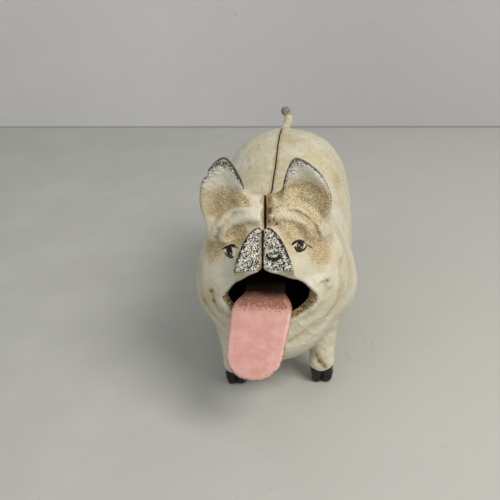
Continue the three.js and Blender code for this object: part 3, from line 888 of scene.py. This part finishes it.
class Paint:
    """A material made of nodes, whose colour is built up in layers.

    Lengths are in millimetres on the object's own axes. Whatever can vary over the surface may be
    given as a Value, a socket or a plain number."""

    def __init__(self, name, colour):
        self.material = bpy.data.materials.new(name)
        self.material.use_nodes = True
        self.tree = self.material.node_tree
        self.tree.nodes.clear()
        self.colour = colour
        coordinates = self.node("TexCoord", {})
        self.place = self.vector("SCALE", coordinates.outputs["Object"], scale=1 / MM)
        self.x, self.y, self.z = self.parts(self.place)

    def node(self, kind, inputs, **settings):
        """A new node with these settings. Its inputs are keyed by name or number."""
        node = self.tree.nodes.new("ShaderNode" + kind)
        for name, setting in settings.items():
            setattr(node, name, setting)
        for key, given in inputs.items():
            given = given.socket if isinstance(given, Value) else given
            if isinstance(given, bpy.types.NodeSocket):
                self.tree.links.new(given, node.inputs[key])
            else:
                node.inputs[key].default_value = given
        return node

    def parts(self, vector):
        return [Value(self, socket) for socket in self.node("SeparateXYZ", {0: vector}).outputs]

    def number(self, operation, a, b=0.0, clamp=False):
        node = self.node("Math", {0: a, 1: b}, operation=operation, use_clamp=clamp)
        return Value(self, node.outputs[0])

    def least(self, a, b):
        return self.number("MINIMUM", a, b)

    def most(self, a, b):
        return self.number("MAXIMUM", a, b)

    def vector(self, operation, a, b=(0.0, 0.0, 0.0), scale=1.0):
        inputs = {0: a, "Scale": scale} if operation == "SCALE" else {0: a, 1: b}
        return self.node("VectorMath", inputs, operation=operation).outputs["Vector"]

    def measure(self, operation, a, b):
        """The distance or the dot product of two vectors."""
        node = self.node("VectorMath", {0: a, 1: b}, operation=operation)
        return Value(self, node.outputs["Value"])

    def fact(self, name):
        return Value(self, self.node("Attribute", {}, attribute_name=name).outputs["Fac"])

    def noise(self, size, detail=2.0, rough=0.5, twist=0.0, stretch=(1, 1, 1), offset=0.0):
        """Noise whose grains are about size across, spread so that it runs from about 0 to 1."""
        squeezed = self.vector("MULTIPLY", self.place, tuple(1 / (size * one) for one in stretch))
        inputs = {
            "Vector": self.vector("ADD", squeezed, (offset, offset, offset)),
            "Scale": 1.0,
            "Detail": detail,
            "Roughness": rough,
            "Distortion": twist,
        }
        return Value(self, self.node("TexNoise", inputs).outputs["Fac"]) * 1.9 - 0.45

    def spots(self, size, radius, keep, offset=0.0, soft=0.8):
        """Round spots, one to a cell of this size, of which only this share is kept."""
        squeezed = self.vector("SCALE", self.place, scale=1 / size)
        shifted = self.vector("ADD", squeezed, (offset, offset, offset))
        cells = self.node("TexVoronoi", {"Vector": shifted, "Scale": 1.0})
        kept = self.parts(cells.outputs["Color"])[0].step(1 - keep, 1.001 - keep)
        edge = Value(self, cells.outputs["Distance"]) - kept * (radius / size)
        return edge.step(0.0, -soft * radius / size) * kept

    def speckle(self, amount, size, soft=0.12, twist=0.4, offset=0.0):
        """Specks that cover this share of the surface."""
        grain = self.noise(size, 2.0, 0.6, twist, offset=offset)
        return (grain + (amount * 1.1 - 0.6)).step(0.5 - soft, 0.5 + soft)

    def line(self, points, width, soft=0.18):
        """A painted line through (x, z) points, seen from the front."""
        flat = self.vector("MULTIPLY", self.place, (1, 0, 1))
        gaps = []
        for (ax, az), (bx, bz) in zip(points, points[1:]):
            dx, dz = bx - ax, bz - az
            length = dx * dx + dz * dz
            offset = self.vector("SUBTRACT", flat, (ax, 0, az))
            share = self.measure("DOT_PRODUCT", offset, (dx / length, 0, dz / length))
            foot = self.vector("SCALE", (dx, 0, dz), scale=self.number("ADD", share, 0.0, clamp=True))
            gaps.append(self.measure("DISTANCE", offset, foot))
        return reduce(self.least, gaps).step(width / 2 + soft, width / 2 - soft)

    def disc(self, at, radii, soft):
        """A painted oval at an (x, z) place, seen from the front."""
        scaled = self.vector("MULTIPLY", self.place, (1 / radii[0], 0, 1 / radii[1]))
        reach = self.measure("DISTANCE", scaled, (at[0] / radii[0], 0, at[1] / radii[1]))
        return reach.step(1 + soft, 1 - soft)

    def mix(self, amount, a, b):
        return self.node("Mix", {0: amount, 6: a, 7: b}, data_type="RGBA").outputs[2]

    def lay(self, colour, amount):
        """Covers the colour so far with another one, as far as amount says."""
        self.colour = self.mix(amount, self.colour, colour)

    def finish(self, roughness, height, metallic=0.0, coat=0.0, specular=0.5):
        """height is in millimetres."""
        bumps = self.node("Bump", {"Strength": 1.0, "Distance": MM, "Height": height})
        inputs = {
            "Base Color": self.colour,
            "Roughness": roughness,
            "Metallic": metallic,
            "Specular IOR Level": specular,
            "Coat Weight": coat,
            "Coat Roughness": 0.25,
            "Normal": bumps.outputs[0],
        }
        shader = self.node("BsdfPrincipled", inputs)
        self.node("OutputMaterial", {"Surface": shader.outputs[0]})
        return self.material


CREAM = linear(202, 197, 177)
CREAM_WARM = linear(194, 183, 150)
CREAM_PALE = linear(212, 208, 192)
WHITE = linear(222, 219, 206)
TAN = linear(172, 150, 98)
PATINA = linear(164, 139, 84)
PALE_SPECK = linear(218, 209, 176)
GOLD = linear(134, 102, 48)
BROWN = linear(122, 90, 36)
DARK_BROWN = linear(58, 40, 22)
BLACK = linear(16, 16, 15)
NOSE_WHITE = linear(226, 222, 206)
NOSE_STAIN = linear(190, 174, 134)
LIP = linear(178, 154, 104)
UPPER_LIP = linear(176, 150, 122)
LIP_SPECK = linear(78, 54, 24)
HOOF = linear(9, 9, 9)
PINK = linear(199, 142, 131)
PINK_PALE = linear(206, 156, 145)
SHOULDER_TAN = linear(190, 120, 84)
SHOULDER_SPECK = linear(116, 66, 30)
# Painted shade: the near black laid on the tongue's neck inside the mouth
MOUTH_SHADE_COLOUR = linear(20, 13, 10)
CHIP_PALE = linear(222, 206, 196)
CHIP_DARK = linear(46, 36, 32)
PINK_FLECK = linear(120, 76, 62)
SIDE_RUST = linear(112, 68, 44)
IRON = linear(38, 33, 29)
IRON_PALE = linear(92, 86, 80)
RUST = linear(84, 54, 34)
STEEL = linear(150, 148, 144)
STEEL_BROWN = linear(104, 88, 72)
STEEL_DARK = linear(112, 110, 106)

# Eyes as (x, z) seen from the front, for the pig's left eye and its right one
EYES = [
    {
        "heavy": [(11.9, 82.1), (13.6, 82.3), (14.9, 82.1), (16.4, 81.5)],
        "fine": [(16.4, 81.7), (17.8, 80.5), (19.2, 79.3), (19.9, 78.7)],
        "lower": [(12.8, 80.9), (13.9, 79.7), (15.3, 79.2), (17.0, 79.3), (17.8, 79.9)],
        "iris": (15.1, 80.8),
        "iris_radii": (1.6, 1.4),
        "glints": [(15.7, 80.2), (14.6, 80.9)],
        "whites": [(13.2, 81.1), (17.3, 80.4)],
    },
    {
        "heavy": [(-19.2, 79.8), (-18.0, 80.5), (-16.4, 81.2), (-14.6, 81.3)],
        "fine": [(-20.6, 78.8), (-19.2, 79.8), (-14.6, 81.3), (-13.0, 81.1)],
        "lower": [(-19.0, 77.9), (-17.8, 77.5), (-16.2, 77.5), (-15.0, 78.1)],
        "iris": (-16.8, 79.3),
        "iris_radii": (1.7, 1.6),
        "glints": [(-16.1, 78.9)],
        "whites": [(-18.8, 78.8), (-14.9, 79.7)],
    },
]
EYE_STROKES = {"heavy": 0.95, "fine": 0.42, "lower": 0.75}  # their widths
EYE_WHITE_RADII = (1.25, 1.1)
GLINT_RADII = (0.34, 0.26)
HOOF_TOP = 8.6
CUFF_RISE = 0.42  # how fast the hoof's paint climbs away from its middle


def lay_ground(paint, relief, ridges, cloud, streaks):
    """Old cream enamel, pale on the face and the ear tips, stained elsewhere, with a painted highlight
    along the ridges.
    """
    on_face = paint.y.step(-40, -58)
    on_back = paint.z.step(55, 85)
    ear_tips = paint.z.step(103, 111) * paint.y.step(-42, -46)
    hollows = relief.step(-0.1, -0.75) * cloud.step(0.1, 0.8)
    paint.lay(CREAM_WARM, paint.noise(14, 3).step(0.2, 0.8))
    paint.lay(CREAM_PALE, 0.35 * cloud.step(0.45, 0.8))
    paint.lay(TAN, streaks.step(0.48, 0.95) * (0.35 + 0.4 * on_back) * (1 - 0.5 * on_face))
    paint.lay(CREAM_PALE, 0.22 * on_face)
    # Painted highlight: paler cream along the ridges
    paint.lay(CREAM_PALE, 0.4 * ridges)
    paint.lay(WHITE, 0.75 * ear_tips)
    paint.lay(TAN, 0.55 * hollows)


def lay_patina(paint, brown, dirt, cloud, flecks):
    """Brown sprayed in specks, and dirt worn into the hollows."""
    grime = paint.noise(1.1, 3, 0.6, offset=19).step(0.3, 0.65)
    paint.lay(PATINA, 0.8 * brown)
    paint.lay(GOLD, 0.6 * paint.speckle(brown, 0.6, 0.05))
    paint.lay(PALE_SPECK, 0.66 * paint.speckle(0.6 * brown, 0.55, 0.05, offset=31))
    paint.lay(BROWN, 0.75 * flecks)
    paint.lay(BROWN, 0.7 * dirt.step(0.1, 0.7) * grime)
    paint.lay(DARK_BROWN, 0.85 * (dirt + 0.5 * cloud).step(0.75, 1.2))


def lay_eyes(paint, grain):
    """The two painted eyes. Returns where their black is."""
    white, black = 0.0, 0.0
    for eye in EYES:
        for at in eye["whites"]:
            white = paint.most(white, paint.disc(at, EYE_WHITE_RADII, 0.3))
        ink = paint.disc(eye["iris"], eye["iris_radii"], 0.15)
        # Painted highlights: small glints of light painted into the iris's black
        for at in eye["glints"]:
            ink = ink * (1 - 0.75 * paint.disc(at, GLINT_RADII, 0.4))
        for stroke, width in EYE_STROKES.items():
            ink = paint.most(ink, paint.line(eye[stroke], width))
        black = paint.most(black, ink)
    at_eyes = paint.y.step(-54, -57)
    paint.lay(WHITE, 0.45 * white * at_eyes)
    paint.lay(BLACK, black * at_eyes * paint.least(0.3 * grain + 0.85, 1.0))
    return black * at_eyes


def lay_nose(paint, on_nose, nose, grain):
    """The snout's speckle and its nostril. Returns where its black specks are."""
    rim = nose.step(1.8, 0.2) * paint.z.step(79, 84)
    specks = paint.speckle(0.55 + 0.25 * rim, 0.85, 0.06, 1.6, offset=3)
    nostril = (paint.fact("nostril") + 0.5 * grain).step(1.15, 0.85)
    ground = paint.mix(paint.speckle(0.3, 1.6, 0.3, offset=17), NOSE_WHITE, NOSE_STAIN)
    paint.lay(paint.mix(nostril, paint.mix(specks, ground, BLACK), BLACK), on_nose)
    return specks * on_nose


def lay_seam(paint, cloud, streaks):
    """Dirt beside the seam, widest on the pig's left on the forehead and on its right on the snout."""
    seam = abs(paint.x)
    on_front = paint.y.step(-47, -50)
    right_side = paint.x.step(0.1, -0.1)
    on_forehead = 1.8 - 0.7 * right_side
    on_snout = 0.3 + 0.9 * right_side
    width = on_snout + paint.z.step(93, 95) * (on_forehead - on_snout)
    width = (0.3 + on_front * width) * (0.3 + 1.5 * cloud)
    edge = 0.34 + 0.2 * on_front
    paint.lay(BROWN, 0.62 * (seam - width).step(0.25, -0.15))
    paint.lay(GOLD, 0.6 * seam.step(2.4, 0.3) * (1 - on_front) * (streaks + 0.3))
    paint.lay(DARK_BROWN, (seam - edge).step(0.05, -0.05))


def lay_lips(paint, lip, cloud):
    low_lip = paint.z.step(66, 58)
    specks = paint.speckle(0.35 + 0.2 * low_lip, 0.8, offset=23)
    colour = paint.mix(specks, paint.mix(low_lip, UPPER_LIP, LIP), LIP_SPECK)
    paint.lay(colour, 0.92 * (lip + 0.8 * cloud).step(1.4, 0.6))


def cream_enamel():
    paint = Paint("cream enamel", CREAM)
    depth, nose, lip, relief = map(paint.fact, ("depth", "nose", "lip", "relief"))
    brown, dirt, black = map(paint.fact, ("brown", "dirt", "black"))
    cloud = paint.noise(4.5, 4, 0.6)
    grain = paint.noise(0.55, 3, 0.6)
    streaks = paint.noise(2.2, 4, 0.65, 1.2, stretch=(1, 3.5, 1), offset=7)
    flecks = paint.spots(4.4, 0.34, keep=0.5)
    ridges = relief.step(0.5, 1.6) * paint.y.step(-46, -50)
    brown = brown * (1 - 0.6 * ridges)
    on_nose = nose.step(-0.25, 0.25)
    ear_ink = paint.speckle(black, 0.55, 0.08, 0.8, offset=11) * black.step(0.05, 0.2)
    from_middle = abs(abs(paint.x) - FRONT_HOOF[1][0])
    cuff = paint.z - CUFF_RISE * paint.least(from_middle, 5.0) + 1.5
    on_hoof = (cuff + 0.5 * cloud).step(HOOF_TOP + 0.55, HOOF_TOP + 0.25)
    in_lip = lip.step(1.4, 0.8) * depth.step(4.6, 3.0)
    bare = 1 - paint.most(depth.step(1.6, 0.8), in_lip)

    lay_ground(paint, relief, ridges, cloud, streaks)
    lay_patina(paint, brown, dirt, cloud, flecks)
    eye_ink = lay_eyes(paint, grain)
    nose_ink = lay_nose(paint, on_nose, nose, grain)
    paint.lay(BLACK, 0.93 * ear_ink)
    lay_seam(paint, cloud, streaks)
    lay_lips(paint, lip, cloud)
    paint.lay(HOOF, on_hoof)
    paint.lay(paint.mix(cloud.step(0.35, 0.9), IRON, RUST), bare)

    roughness = 0.36 + 0.16 * cloud + 0.15 * brown + 0.14 * on_nose - 0.24 * on_hoof + 0.25 * bare
    height = 0.28 * paint.noise(2.4, 3, 0.55, offset=5) + 0.45 * paint.noise(6, 2, offset=8)
    height += 0.06 * grain - 0.12 * flecks + 0.07 * nose_ink
    height += 0.4 * on_hoof * paint.noise(1.4, 2, offset=27)
    ink = paint.most(paint.most(eye_ink, nose_ink), ear_ink)
    return paint.finish(roughness, height, specular=0.5 - 0.35 * ink)


def pink_enamel():
    paint = Paint("pink enamel", PINK)
    edge, down, under = map(paint.fact, ("edge", "down", "under"))
    cloud = paint.noise(5, 4, 0.6)
    grain = paint.noise(0.6, 3, 0.6)
    shoulder = down.step(10.0, -1.0)
    shaded_in_mouth = (down + 2 * cloud).step(1.4, -3.4)
    rim = edge.step(1.3, 0.2) * down.step(1.0, 5.0)
    wear = rim * (0.12 + 0.22 * down.step(14, 32))
    chips = (paint.noise(1.3, 4, 0.7, offset=4) + wear).step(0.86, 0.93) * rim
    light_chips = paint.noise(1.1, 3, 0.6, offset=14).step(0.58, 0.68) * rim
    flecks = paint.spots(4.5, 0.3, keep=0.35, offset=2)
    side = under.step(0.7, 1.5) * down.step(0.0, 3.0)

    paint.lay(PINK_PALE, cloud.step(0.25, 0.8))
    paint.lay(PINK_PALE, 0.3 * paint.noise(1.6, 3, offset=9).step(0.6, 1.0))
    paint.lay(SHOULDER_TAN, 0.25 * shoulder)
    paint.lay(SHOULDER_SPECK, 0.85 * paint.speckle(0.8 * shoulder, 0.55, 0.07))
    # Painted shade: the tongue's neck fades to near black where it goes into the mouth, under the
    # mouth's roof
    paint.lay(MOUTH_SHADE_COLOUR, 0.97 * shaded_in_mouth)
    paint.lay(CHIP_PALE, 0.55 * light_chips)
    paint.lay(CHIP_DARK, chips)
    paint.lay(PINK_FLECK, 0.7 * flecks)
    paint.lay(SIDE_RUST, 0.85 * side * cloud.step(0.0, 0.5))

    roughness = 0.33 + 0.15 * cloud + 0.2 * shoulder + 0.2 * shaded_in_mouth
    height = 0.14 * paint.noise(3, 3, offset=6) + 0.03 * grain - 0.12 * chips - 0.1 * flecks
    gloss = 1 - shaded_in_mouth
    return paint.finish(roughness, height, coat=0.2 * gloss, specular=0.1 + 0.4 * gloss)


def tail_enamel():
    """The cream ends below in bare iron and above in a knob sprayed black."""
    paint = Paint("tail enamel", CREAM)
    height_up = paint.fact("height")
    cloud = paint.noise(3, 4, 0.6)
    toward_knob = height_up.step(20.5, 25.5)
    black = paint.speckle(0.8 * toward_knob, 0.8, 0.25, 0.8)
    shade = paint.most(black, 0.5 * toward_knob) * height_up.step(19.5, 22.5)
    paint.lay(CREAM_WARM, cloud.step(0.25, 0.8))
    paint.lay(TAN, 0.5 * paint.noise(1.4, 4, offset=5).step(0.55, 0.95))
    paint.lay(BLACK, 0.75 * shade)
    paint.lay(paint.mix(cloud, IRON, RUST), height_up.step(11.5, 8.5))
    return paint.finish(0.4 + 0.15 * cloud, 0.1 * cloud + 0.03 * paint.noise(0.6, 3))


def dark_iron():
    paint = Paint("dark iron", IRON)
    cloud = paint.noise(3.5, 4, 0.65)
    grain = paint.noise(0.5, 3, 0.65)
    paint.lay(RUST, cloud.step(0.45, 0.95))
    paint.lay(IRON_PALE, 0.3 * grain.step(0.6, 0.9))
    return paint.finish(0.42 + 0.25 * cloud, 0.08 * cloud + 0.06 * grain, metallic=0.6)


def worn_steel():
    paint = Paint("worn steel", STEEL)
    cloud = paint.noise(2.2, 4, 0.65)
    turned = paint.noise(0.35, 2, 0.5, stretch=(6, 1, 1))
    paint.lay(STEEL_BROWN, cloud.step(0.5, 1.0))
    paint.lay(STEEL_DARK, 0.3 * turned)
    return paint.finish(0.26 + 0.22 * cloud, 0.02 * turned + 0.03 * cloud, metallic=0.95)


cream = cream_enamel()
pink = pink_enamel()
tail_paint = tail_enamel()
iron = dark_iron()
steel = worn_steel()

# ---- The pieces ----

body_step, face_step = ((0.78, 0.6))
FACE_END = -46


def body_axes():
    """The grid for a casting, finer over the face than along the back. x runs out from the seam."""
    low, high = node_box("body_half_left")
    face = even_axis(low[1] - 6, FACE_END, face_step)
    back = even_axis(face[-1] + body_step, high[1] + 3, body_step)
    return [
        even_axis(SEAM - 1.4, high[0] + 3, body_step * 0.9),
        np.concatenate([face, back]),
        even_axis(low[2] - 1.5, high[2] + 3, body_step * 0.9),
    ]


for name, side in (("body_half_left", 1), ("body_half_right", -1)):
    field = lambda p, side=side: casting(p, side)
    make_piece(name, field, body_axes(), cream, "body", casting_facts(side), side)

tongue_grid = node_axes("tongue", 0.5, 1.5)
tail_grid = node_axes("tail_lever", 0.35, 1.5)
make_piece("tongue", tongue, tongue_grid, pink, "tongue", tongue_facts)
make_piece("tail_lever", tail, tail_grid, tail_paint, "tail", tail_facts)
make_piece("link_rod", link_rod, node_axes("link_rod", 0.45), steel, "link")


def make_fastener(name, step, field, *given):
    """A steel piece that stays with the castings. given is what its field takes after p."""
    make_piece(name, lambda p: field(p, *given), node_axes(name, step), steel, "body")


make_fastener("tongue_pin", 0.3, pin, TONGUE_PIVOT, TONGUE_BOSS_X)
make_fastener("tail_pin", 0.3, pin, TAIL_PIVOT, TAIL_BOSS_X)
make_fastener("tongue_spacer_right", 0.22, spacer, TONGUE_PIVOT, -TONGUE_BOSS_X, LUG_X[0])
make_fastener("tongue_spacer_left", 0.22, spacer, TONGUE_PIVOT, LUG_X[1], TONGUE_BOSS_X)
make_fastener("tail_spacer_right", 0.22, spacer, TAIL_PIVOT, -TAIL_BOSS_X, -TAIL_HUB_HALF)
make_fastener("tail_spacer_left", 0.22, spacer, TAIL_PIVOT, TAIL_HUB_HALF, TAIL_BOSS_X)
for name, place in SCREWS.items():
    make_fastener(name, 0.25, body_screw, place)

make_piece("trap_cover", trap_cover, node_axes("trap_cover", 0.4), iron, "body")
make_piece("trap_bridge", trap_bridge, node_axes("trap_bridge", 0.4), iron, "body")
make_fastener("trap_screw", 0.25, trap_screw)

# ---- Stage, light and camera ----

WALL_AT = (-61.6, 412.3)  # a point at the foot of the wall
WALL_TURN = math.radians(-9.64)
STAGE_SIZE = 3000
WALL_MIDDLE = 1480
WALL_FOOT = -WALL_MIDDLE  # on the wall's own upright axis
SCRATCH = linear(120, 124, 130)
SHADOW_LINE = linear(96, 96, 92)


def stage_plane(name, place, turn, material):
    location = [value * MM for value in place]
    bpy.ops.mesh.primitive_plane_add(size=STAGE_SIZE * MM, location=location, rotation=turn)
    plane = bpy.context.object
    plane.name = name
    plane.data.materials.append(material)


def stage_paint(name, base, other, right_shading):
    """Two close tones wander over a plane, with a painted shading into a third tone towards its right:
    painted shade on the wall where the key light brightens it, and little change on the table.

    It has faint scratches, and the wall a painted shadow line at its foot."""
    paint = Paint(name, base)
    scuffs = paint.noise(60, 5, 0.6)
    grain = paint.noise(1.2, 3, 0.6)
    scratches = abs(paint.noise(38, 4, 0.5, 0.6, offset=12) - 0.5).step(0.004, 0.001)
    wall_foot = paint.y.step(WALL_FOOT + 2.5, WALL_FOOT + 0.5)
    paint.lay(other, scuffs.step(0.3, 0.8))
    # Painted shade: darker towards the wall's right, evening out the key light
    paint.lay(right_shading, paint.x.step(-150, 170))
    paint.lay(SCRATCH, 0.22 * scratches * scuffs.step(0.45, 0.6))
    paint.lay(SHADOW_LINE, 0.55 * wall_foot)
    return paint.finish(0.5 + 0.1 * scuffs, 0.02 * grain)


floor_paint = stage_paint("table", linear(180, 180, 173), linear(186, 186, 179), linear(183, 182, 175))
wall_paint = stage_paint("wall", linear(205, 202, 200), linear(207, 204, 201), linear(186, 183, 182))
stage_plane("table", (0, 0, -0.05), (0, 0, WALL_TURN), floor_paint)
stage_plane("wall", (*WALL_AT, WALL_MIDDLE), (math.radians(90), 0, WALL_TURN), wall_paint)


def area_light(name, place, target, size, power, colour):
    data = bpy.data.lights.new(name, "AREA")
    data.size = size * MM
    data.energy = power
    data.color = colour
    lamp = bpy.data.objects.new(name, data)
    lamp.location = Vector(place) * MM
    lamp.rotation_euler = (Vector(target) - Vector(place)).to_track_quat("-Z", "Y").to_euler()
    bpy.context.scene.collection.objects.link(lamp)


area_light("key", (520, -420, 700), (0, 0, 50), 450, 7.0, (1.0, 0.98, 0.94))
area_light("fill", (-700, -500, 600), (0, 0, 50), 900, 1.2, (0.93, 0.97, 1.0))

world = bpy.data.worlds.new("studio")
world.use_nodes = True
background = world.node_tree.nodes["Background"]
background.inputs["Color"].default_value = (0.93, 0.96, 1.0, 1.0)
background.inputs["Strength"].default_value = 0.5
bpy.context.scene.world = world
bpy.context.scene.view_settings.view_transform = "Standard"

CAMERA_PLACE = (34.70, -364.34, 223.24)
CAMERA_AZIMUTH = math.radians(-7.9)  # turned this far from facing +Y
CAMERA_DOWN = math.radians(25.1)
CAMERA_ROLL = math.radians(-5.0)
LENS = 54.38

camera_data = bpy.data.cameras.new("camera")
camera_data.lens = LENS
camera_data.sensor_width = 36
camera_data.clip_start = 0.01
camera = bpy.data.objects.new("camera", camera_data)
turn = Matrix.Rotation(-CAMERA_AZIMUTH, 4, "Z") @ Matrix.Rotation(math.pi / 2 - CAMERA_DOWN, 4, "X")
turn = turn @ Matrix.Rotation(CAMERA_ROLL, 4, "Z")
camera.matrix_world = Matrix.Translation(Vector(CAMERA_PLACE) * MM) @ turn
bpy.context.scene.collection.objects.link(camera)
bpy.context.scene.camera = camera
